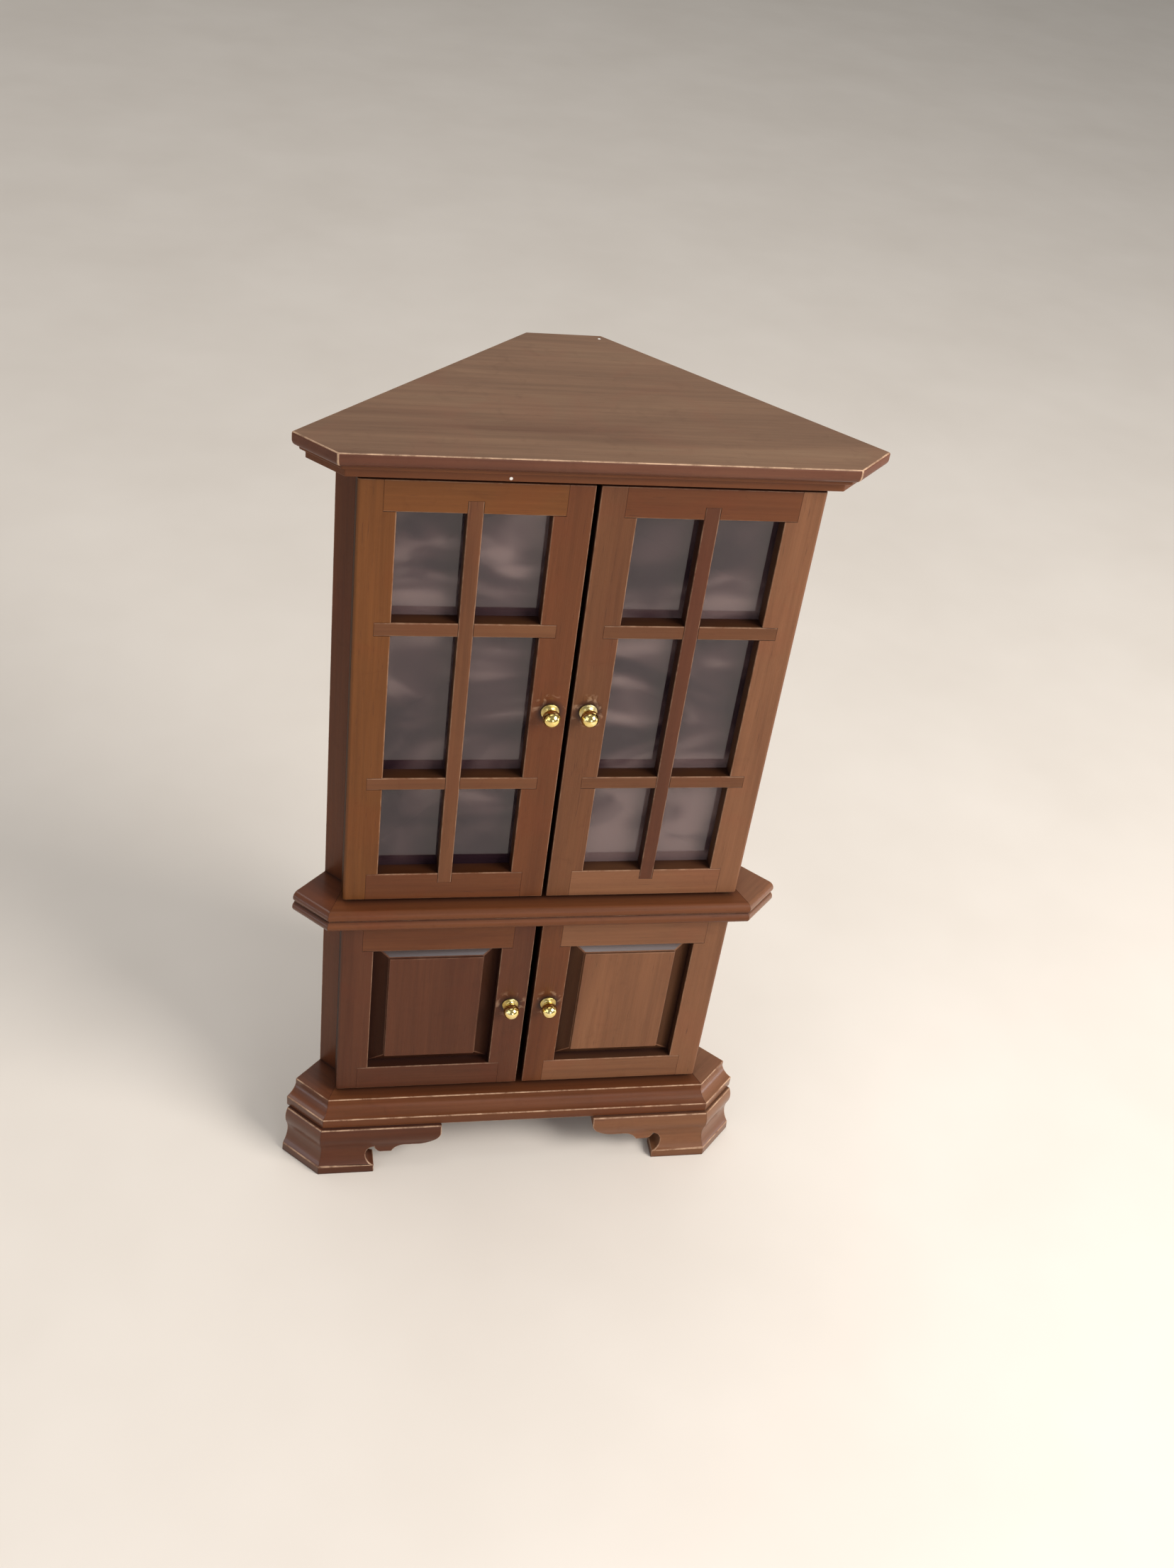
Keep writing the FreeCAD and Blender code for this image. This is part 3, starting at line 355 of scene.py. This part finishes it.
def pane(name):
    """Clear sheet with faint ripples and a patchy grey-violet film: partly a cloudy haze, partly a
    painted reflection of the room.
    """
    shader = Shader(name)
    place = shader.place()
    ripple = shader.noise(place, 55, 2.0, 0.5, 1.5)
    # Painted reflection: folded patches stand for the room's reflection, along with a cloudy haze.
    haze_and_reflection = shader.noise(shader.stretched(place, 60, 28, "x"), 1.0, 2.0, 0.5, 1.5)
    shader.feed(shader.surface.inputs["Base Color"], shader.ramp(haze_and_reflection, HAZE_AND_REFLECTION_TONES))
    shader.feed(shader.surface.inputs["Roughness"], shader.span(haze_and_reflection, 0.3, 0.7, 0.04, 0.12))
    shader.surface.inputs["Transmission Weight"].default_value = CLEARNESS
    shader.surface.inputs["IOR"].default_value = PANE_IOR
    shader.surface.inputs["Coat Weight"].default_value = FILM_WEIGHT
    shader.surface.inputs["Coat Roughness"].default_value = FILM_ROUGHNESS
    shader.surface.inputs["Coat IOR"].default_value = FILM_IOR
    shader.bump([(ripple, RIPPLE_RELIEF)])
    return shader.material


# ---------------------------------------------------------------- skins of the wooden pieces
WELD = 0.002 * MM
TOUCH = 0.02 * MM                         # two pieces nearer than this are glued together
FLAT_ANGLE = math.radians(1.0)
REVEAL_SLOPE = 0.50                       # a door face with less of the front in it is an edge
SHARP_ANGLE = math.radians(28.0)
SQUARE_ANGLE = math.radians(50.0)
ARRIS = 0.20 * MM
HAIRLINE = 0.05 * MM
FIELD_SLOPE = 0.96                        # a panel face with less of the front in it is border
UPWARD_SLOPE = 0.30                       # a border of a panel that looks up is its upper one
RIM_SLOPE = 0.60                          # a steeper face of the top board belongs to its edge
LEVEL_SLOPE = 0.98                        # between the two lies its rubbed upper arris


def whole_surface():
    """Every face of the cabinet in one search tree, and the node that owns each face."""
    points, faces, owners = [], [], []
    for node, piece in frame["nodes"].items():
        first = len(points)
        points += [vertex.co.copy() for vertex in piece.data.vertices]
        for face in piece.data.polygons:
            faces.append([first + number for number in face.vertices])
            owners.append(node)
    return BVHTree.FromPolygons(points, faces), owners


SURFACE, OWNERS = whole_surface()


def is_seam(edge, node):
    """Does another piece lie against the middle of this edge?"""
    middle = (edge.verts[0].co + edge.verts[1].co) / 2
    return any(OWNERS[found[2]] != node for found in SURFACE.find_nearest_range(middle, TOUCH))


def corner_edges(work, angle):
    return [edge for edge in work.edges
            if len(edge.link_faces) == 2 and edge.calc_face_angle() > angle]


def ease(work, edges, width, segments):
    return bmesh.ops.bevel(work, geom=edges, offset=width, offset_type="OFFSET",
                           segments=segments, profile=0.5, affect="EDGES",
                           clamp_overlap=False)["faces"]


def finish_of(node, normal):
    """Number of a face's material: 0 plain, 1 worn, 2 set apart (painted shade on reveals and
    panel borders, the top board's rim), 3 that but glossy.
    """
    if node.endswith("_panel") and abs(normal.y) < FIELD_SLOPE:
        return 3 if normal.z > UPWARD_SLOPE else 2
    if BODY_OF[node] != "carcass" and abs(normal.y) < REVEAL_SLOPE:
        return 2
    if node == "top_board" and normal.z < RIM_SLOPE:
        return 2
    if node == "top_board" and normal.z < LEVEL_SLOPE:
        return 1
    return 0


def skin_mesh(node):
    """The node's shape with its arrises eased, and a material number on each face.

    Free arrises take the worn material. Edges glued against a neighbour are eased by a hair only.
    """
    work = bmesh.new()
    work.from_mesh(frame["nodes"][node].data)
    bmesh.ops.remove_doubles(work, verts=work.verts, dist=WELD)
    bmesh.ops.dissolve_limit(work, angle_limit=FLAT_ANGLE, verts=work.verts, edges=work.edges)
    for face in work.faces:
        face.material_index = finish_of(node, face.normal)
    free = [edge for edge in corner_edges(work, SHARP_ANGLE) if not is_seam(edge, node)]
    for face in ease(work, free, ARRIS, 2):
        face.material_index = 1
    seams = [edge for edge in corner_edges(work, SQUARE_ANGLE) if is_seam(edge, node)]
    ease(work, seams, HAIRLINE, 1)
    for face in work.faces:
        face.smooth = True
    mesh = bpy.data.meshes.new(node + "_wood")
    work.to_mesh(mesh)
    work.free()
    if "custom_normal" in mesh.attributes:
        mesh.attributes.remove(mesh.attributes["custom_normal"])
    return mesh


def take_place(piece, node):
    """The piece stands for the node and moves with its body."""
    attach(piece, BODY_OF[node])
    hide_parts(node)


def rub_of(node):
    """How far the stain is rubbed off a piece's arrises."""
    if node in UNWORN:
        return 0.0
    if node.endswith("_panel"):
        return PANEL_RUB
    return CARCASS_RUB if BODY_OF[node] == "carcass" else DOOR_RUB


def dress(node, tone, grain, scuff=None):
    """Replace a wooden node by its skin, with one material for each number of finish_of."""
    mesh = skin_mesh(node)
    lacquer = SIDE_LACQUER if node in COATED else FACE_LACQUER
    mesh.materials.append(wood(node + "_face", tone, grain, scuff=scuff, lacquer=lacquer))
    mesh.materials.append(wood(node + "_arris", tone, grain, rub=rub_of(node)))
    if node.endswith("_panel"):
        # Painted shade: the panel's borders are a darker copy of its wood.
        shaded = shade(tone, BORDER_SHADE)[:3]
        mesh.materials.append(wood(node + "_border", shaded, grain, lacquer=0.0,
                                   shine=REVEAL_SHINE))
        mesh.materials.append(wood(node + "_upper_border", shaded, "x", lacquer=GLINT_LACQUER))
    elif BODY_OF[node] != "carcass":
        # Painted shade: the door's reveals are a darker copy of its wood.
        shaded = shade(tone, REVEAL_SHADE)[:3]
        mesh.materials.append(wood(node + "_reveal", shaded, grain, lacquer=0.0,
                                   shine=REVEAL_SHINE))
    elif node == "top_board":
        mesh.materials.append(wood(node + "_edge", RIM, grain))
    piece = bpy.data.objects.new(node + "_wood", mesh)
    bpy.context.collection.objects.link(piece)
    weighted = piece.modifiers.new("normals", "WEIGHTED_NORMAL")
    weighted.keep_sharp = True
    take_place(piece, node)


# ---------------------------------------------------------------- turned knobs
KNOB_SEGMENTS = 64
BALL_STEPS = 20
BALL_RADIUS = 1.72 * MM
PLATE_THICKNESS = 0.35 * MM
NECK_RADIUS = 0.90 * MM
ROUNDING = 0.10 * MM                      # of the plate's front edge
ON_AXIS = 1e-7                            # a smaller radius is a single point


def knob_profile(plate_radius, reach):
    """(radius, distance out of the door) from the plate to the tip of the ball."""
    centre = reach - BALL_RADIUS
    points = [(plate_radius, 0.0), (plate_radius, PLATE_THICKNESS - ROUNDING),
              (plate_radius - ROUNDING, PLATE_THICKNESS), (NECK_RADIUS, PLATE_THICKNESS)]
    first = math.asin(NECK_RADIUS / BALL_RADIUS)
    for step in range(BALL_STEPS + 1):
        angle = first + (math.pi - first) * step / BALL_STEPS
        points.append((BALL_RADIUS * math.sin(angle), centre - BALL_RADIUS * math.cos(angle)))
    return points


def turn_knob(node, bright, dull):
    """A knob as smooth lathe work, on the axis of the node's box, with a dull plate.

    Gives the point of the door's face on that axis.
    """
    low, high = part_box(node)
    plate_radius = (high.x - low.x) / 2
    centre = Vector(((low.x + high.x) / 2, DOOR_FACE, (low.z + high.z) / 2))
    work = bmesh.new()
    rings = []
    for radius, out in knob_profile(plate_radius, DOOR_FACE - low.y):
        if radius < ON_AXIS:
            rings.append([work.verts.new(centre + Vector((0, -out, 0)))])
            continue
        ring = []
        for segment in range(KNOB_SEGMENTS):
            angle = 2 * math.pi * segment / KNOB_SEGMENTS
            ring.append(work.verts.new(centre + Vector((radius * math.cos(angle), -out,
                                                        radius * math.sin(angle)))))
        rings.append(ring)
    for inner, outer in zip(rings, rings[1:]):
        for segment in range(KNOB_SEGMENTS):
            after = (segment + 1) % KNOB_SEGMENTS
            corners = [inner[segment], inner[after]]
            corners += [outer[0]] if len(outer) == 1 else [outer[after], outer[segment]]
            work.faces.new(corners)
    work.faces.new(rings[0])
    bmesh.ops.recalc_face_normals(work, faces=work.faces)
    for face in work.faces:
        face.smooth = len(face.verts) < KNOB_SEGMENTS
        on_plate = centre.y - face.calc_center_median().y < PLATE_THICKNESS + WELD
        face.material_index = 1 if on_plate else 0
    mesh = bpy.data.meshes.new(node + "_turned")
    work.to_mesh(mesh)
    work.free()
    mesh.materials.append(bright)
    mesh.materials.append(dull)
    piece = bpy.data.objects.new(node + "_turned", mesh)
    bpy.context.collection.objects.link(piece)
    take_place(piece, node)
    return centre


# ---------------------------------------------------------------- the cabinet
# Right-hand pieces take the lighter tan and left-hand ones mostly the dark tone: partly painted
# light from the right and painted shade on the left.
CASE_WOOD = {
    "top_board": (TOP_WITH_SHEEN, "x"), "cornice_board": (RED, "x"),
    "shelf_upper": (INSIDE, "x"), "shelf_lower": (INSIDE, "x"),
    "waist_board": (RED, "x"), "base_board": (RED, "x"),
    "waist_moulding_front": (RED, "x"), "waist_moulding_left": (CASE, "left"),
    "waist_moulding_right": (TAN_LIT_FROM_RIGHT, "right"),
    "base_moulding_front": (RED, "x"), "base_moulding_left": (CASE, "left"),
    "base_moulding_right": (TAN_LIT_FROM_RIGHT, "right"),
    "foot_front_left": (DARK_AND_SHADED, "x"), "foot_front_right": (TAN_LIT_FROM_RIGHT, "x"),
    "foot_side_left": (CASE, "left"), "foot_side_right": (TAN_LIT_FROM_RIGHT, "right"),
    "foot_rear": (CASE, "x"),
}
DOOR_WOOD = {
    "upper_left": {"outer_stile": GOLD, "inner_stile": RED, "top_rail": GOLD,
                   "bottom_rail": RED, "upright_bar": ROSE, "cross_bars": ROSE},
    "upper_right": {"outer_stile": TAN_LIT_FROM_RIGHT, "inner_stile": ROSE, "top_rail": RED,
                    "bottom_rail": TAN_LIT_FROM_RIGHT, "upright_bar": DARK_AND_SHADED, "cross_bars": ROSE},
    "lower_left": {"outer_stile": DARK_AND_SHADED, "inner_stile": DARK_AND_SHADED, "top_rail": RED,
                   "bottom_rail": DARK_AND_SHADED, "panel": DARK_AND_SHADED},
    "lower_right": {"outer_stile": TAN_LIT_FROM_RIGHT, "inner_stile": RED, "top_rail": TAN_LIT_FROM_RIGHT,
                    "bottom_rail": TAN_LIT_FROM_RIGHT, "panel": TAN_LIT_FROM_RIGHT},
}
UNWORN = ("cornice_board", "shelf_upper", "shelf_lower")
COATED = ("waist_moulding_left", "waist_moulding_right", "base_moulding_left",
          "base_moulding_right", "foot_side_left", "foot_side_right")
UPRIGHT = ("outer_stile", "inner_stile", "upright_bar", "panel")


def dress_carcass():
    for node in RECORD["behaviour"]["bodies"]["carcass"]:
        tone, grain = CASE_WOOD.get(node, (CASE, "z"))
        dress(node, tone, grain)


def dress_doors():
    metal = brass("turned_brass", *BRIGHT)
    plate = brass("dull_brass", *DULL)
    clear = pane("dull_clear_pane")
    for door, tones in DOOR_WOOD.items():
        knob_place = turn_knob(door + "_knob", metal, plate)
        frame["nodes"][door + "_hinge_pins"].material_slots[0].material = metal
        for piece, tone in tones.items():
            grain = "z" if piece in UPRIGHT else "x"
            scuff = tuple(knob_place) if piece == "inner_stile" else None
            dress(f"{door}_{piece}", tone, grain, scuff)
        if door + "_glass" in frame["nodes"]:
            frame["nodes"][door + "_glass"].material_slots[0].material = clear


# ---------------------------------------------------------------- floor and light
FLOOR_REACH = 4.0                         # metres from the middle to a side
FLOOR_CLOUDS = 14
FLOOR_TONES = ((0.3, (0.68, 0.61, 0.54, 1)), (0.7, (0.72, 0.65, 0.58, 1)))
FLOOR_ROUGHNESS = 0.7
LIGHTS = (                                # name, place, width in metres, watts, colour
    ("window", (0.42, -0.34, 0.46), 0.34, 5.0, (1.0, 0.98, 0.95)),
    ("fill", (-0.70, -0.55, 0.50), 0.60, 1.6, (0.93, 0.96, 1.0)),
    ("card", (0.18, -0.95, 0.26), 0.26, 1.4, (0.88, 0.93, 1.0)),
    ("left_card", (-1.00, -0.35, 0.10), 0.20, 0.45, (0.82, 0.88, 1.0)),
    ("right_card", (1.00, -0.15, 0.10), 0.20, 0.8, (0.82, 0.88, 1.0)),
    ("ceiling", (-0.10, 0.30, 1.50), 1.10, 9.0, (1.0, 0.99, 0.98)),
)
AIM_HEIGHT = 0.45                         # of the cabinet's height
AIR_COLOUR = (0.80, 0.82, 0.82, 1.0)
AIR_STRENGTH = 0.36


def make_floor():
    """A plain pale floor, far larger than the picture."""
    shader = Shader("pale_floor")
    place = shader.node("ShaderNodeTexCoord", {}, result="Object")
    cloud = shader.noise(place, FLOOR_CLOUDS, 3.0, 0.6)
    shader.feed(shader.surface.inputs["Base Color"], shader.ramp(cloud, FLOOR_TONES))
    shader.surface.inputs["Roughness"].default_value = FLOOR_ROUGHNESS
    mesh = bpy.data.meshes.new("floor")
    work = bmesh.new()
    bmesh.ops.create_grid(work, x_segments=1, y_segments=1, size=FLOOR_REACH)
    work.to_mesh(mesh)
    work.free()
    mesh.materials.append(shader.material)
    floor = bpy.data.objects.new("floor", mesh)
    floor.location.z = cad_low.z
    bpy.context.collection.objects.link(floor)


def softbox(name, place, size, power, colour):
    """A square light that faces the middle of the cabinet."""
    light = bpy.data.objects.new(name, bpy.data.lights.new(name, "AREA"))
    light.data.shape = "SQUARE"
    light.data.size = size
    light.data.energy = power
    light.data.color = colour
    light.location = place
    aim = Vector((0.0, 0.0, AIM_HEIGHT * HEIGHT)) - light.location
    light.rotation_euler = aim.to_track_quat("-Z", "Y").to_euler()
    bpy.context.collection.objects.link(light)


def make_light():
    for name, place, size, power, colour in LIGHTS:
        softbox(name, place, size, power, colour)
    world = bpy.data.worlds.new("studio")
    world.use_nodes = True
    background = world.node_tree.nodes["Background"]
    background.inputs["Color"].default_value = AIR_COLOUR
    background.inputs["Strength"].default_value = AIR_STRENGTH
    bpy.context.scene.world = world
    bpy.context.scene.view_settings.view_transform = "Standard"


make_camera()
make_floor()
make_light()
dress_carcass()
dress_doors()
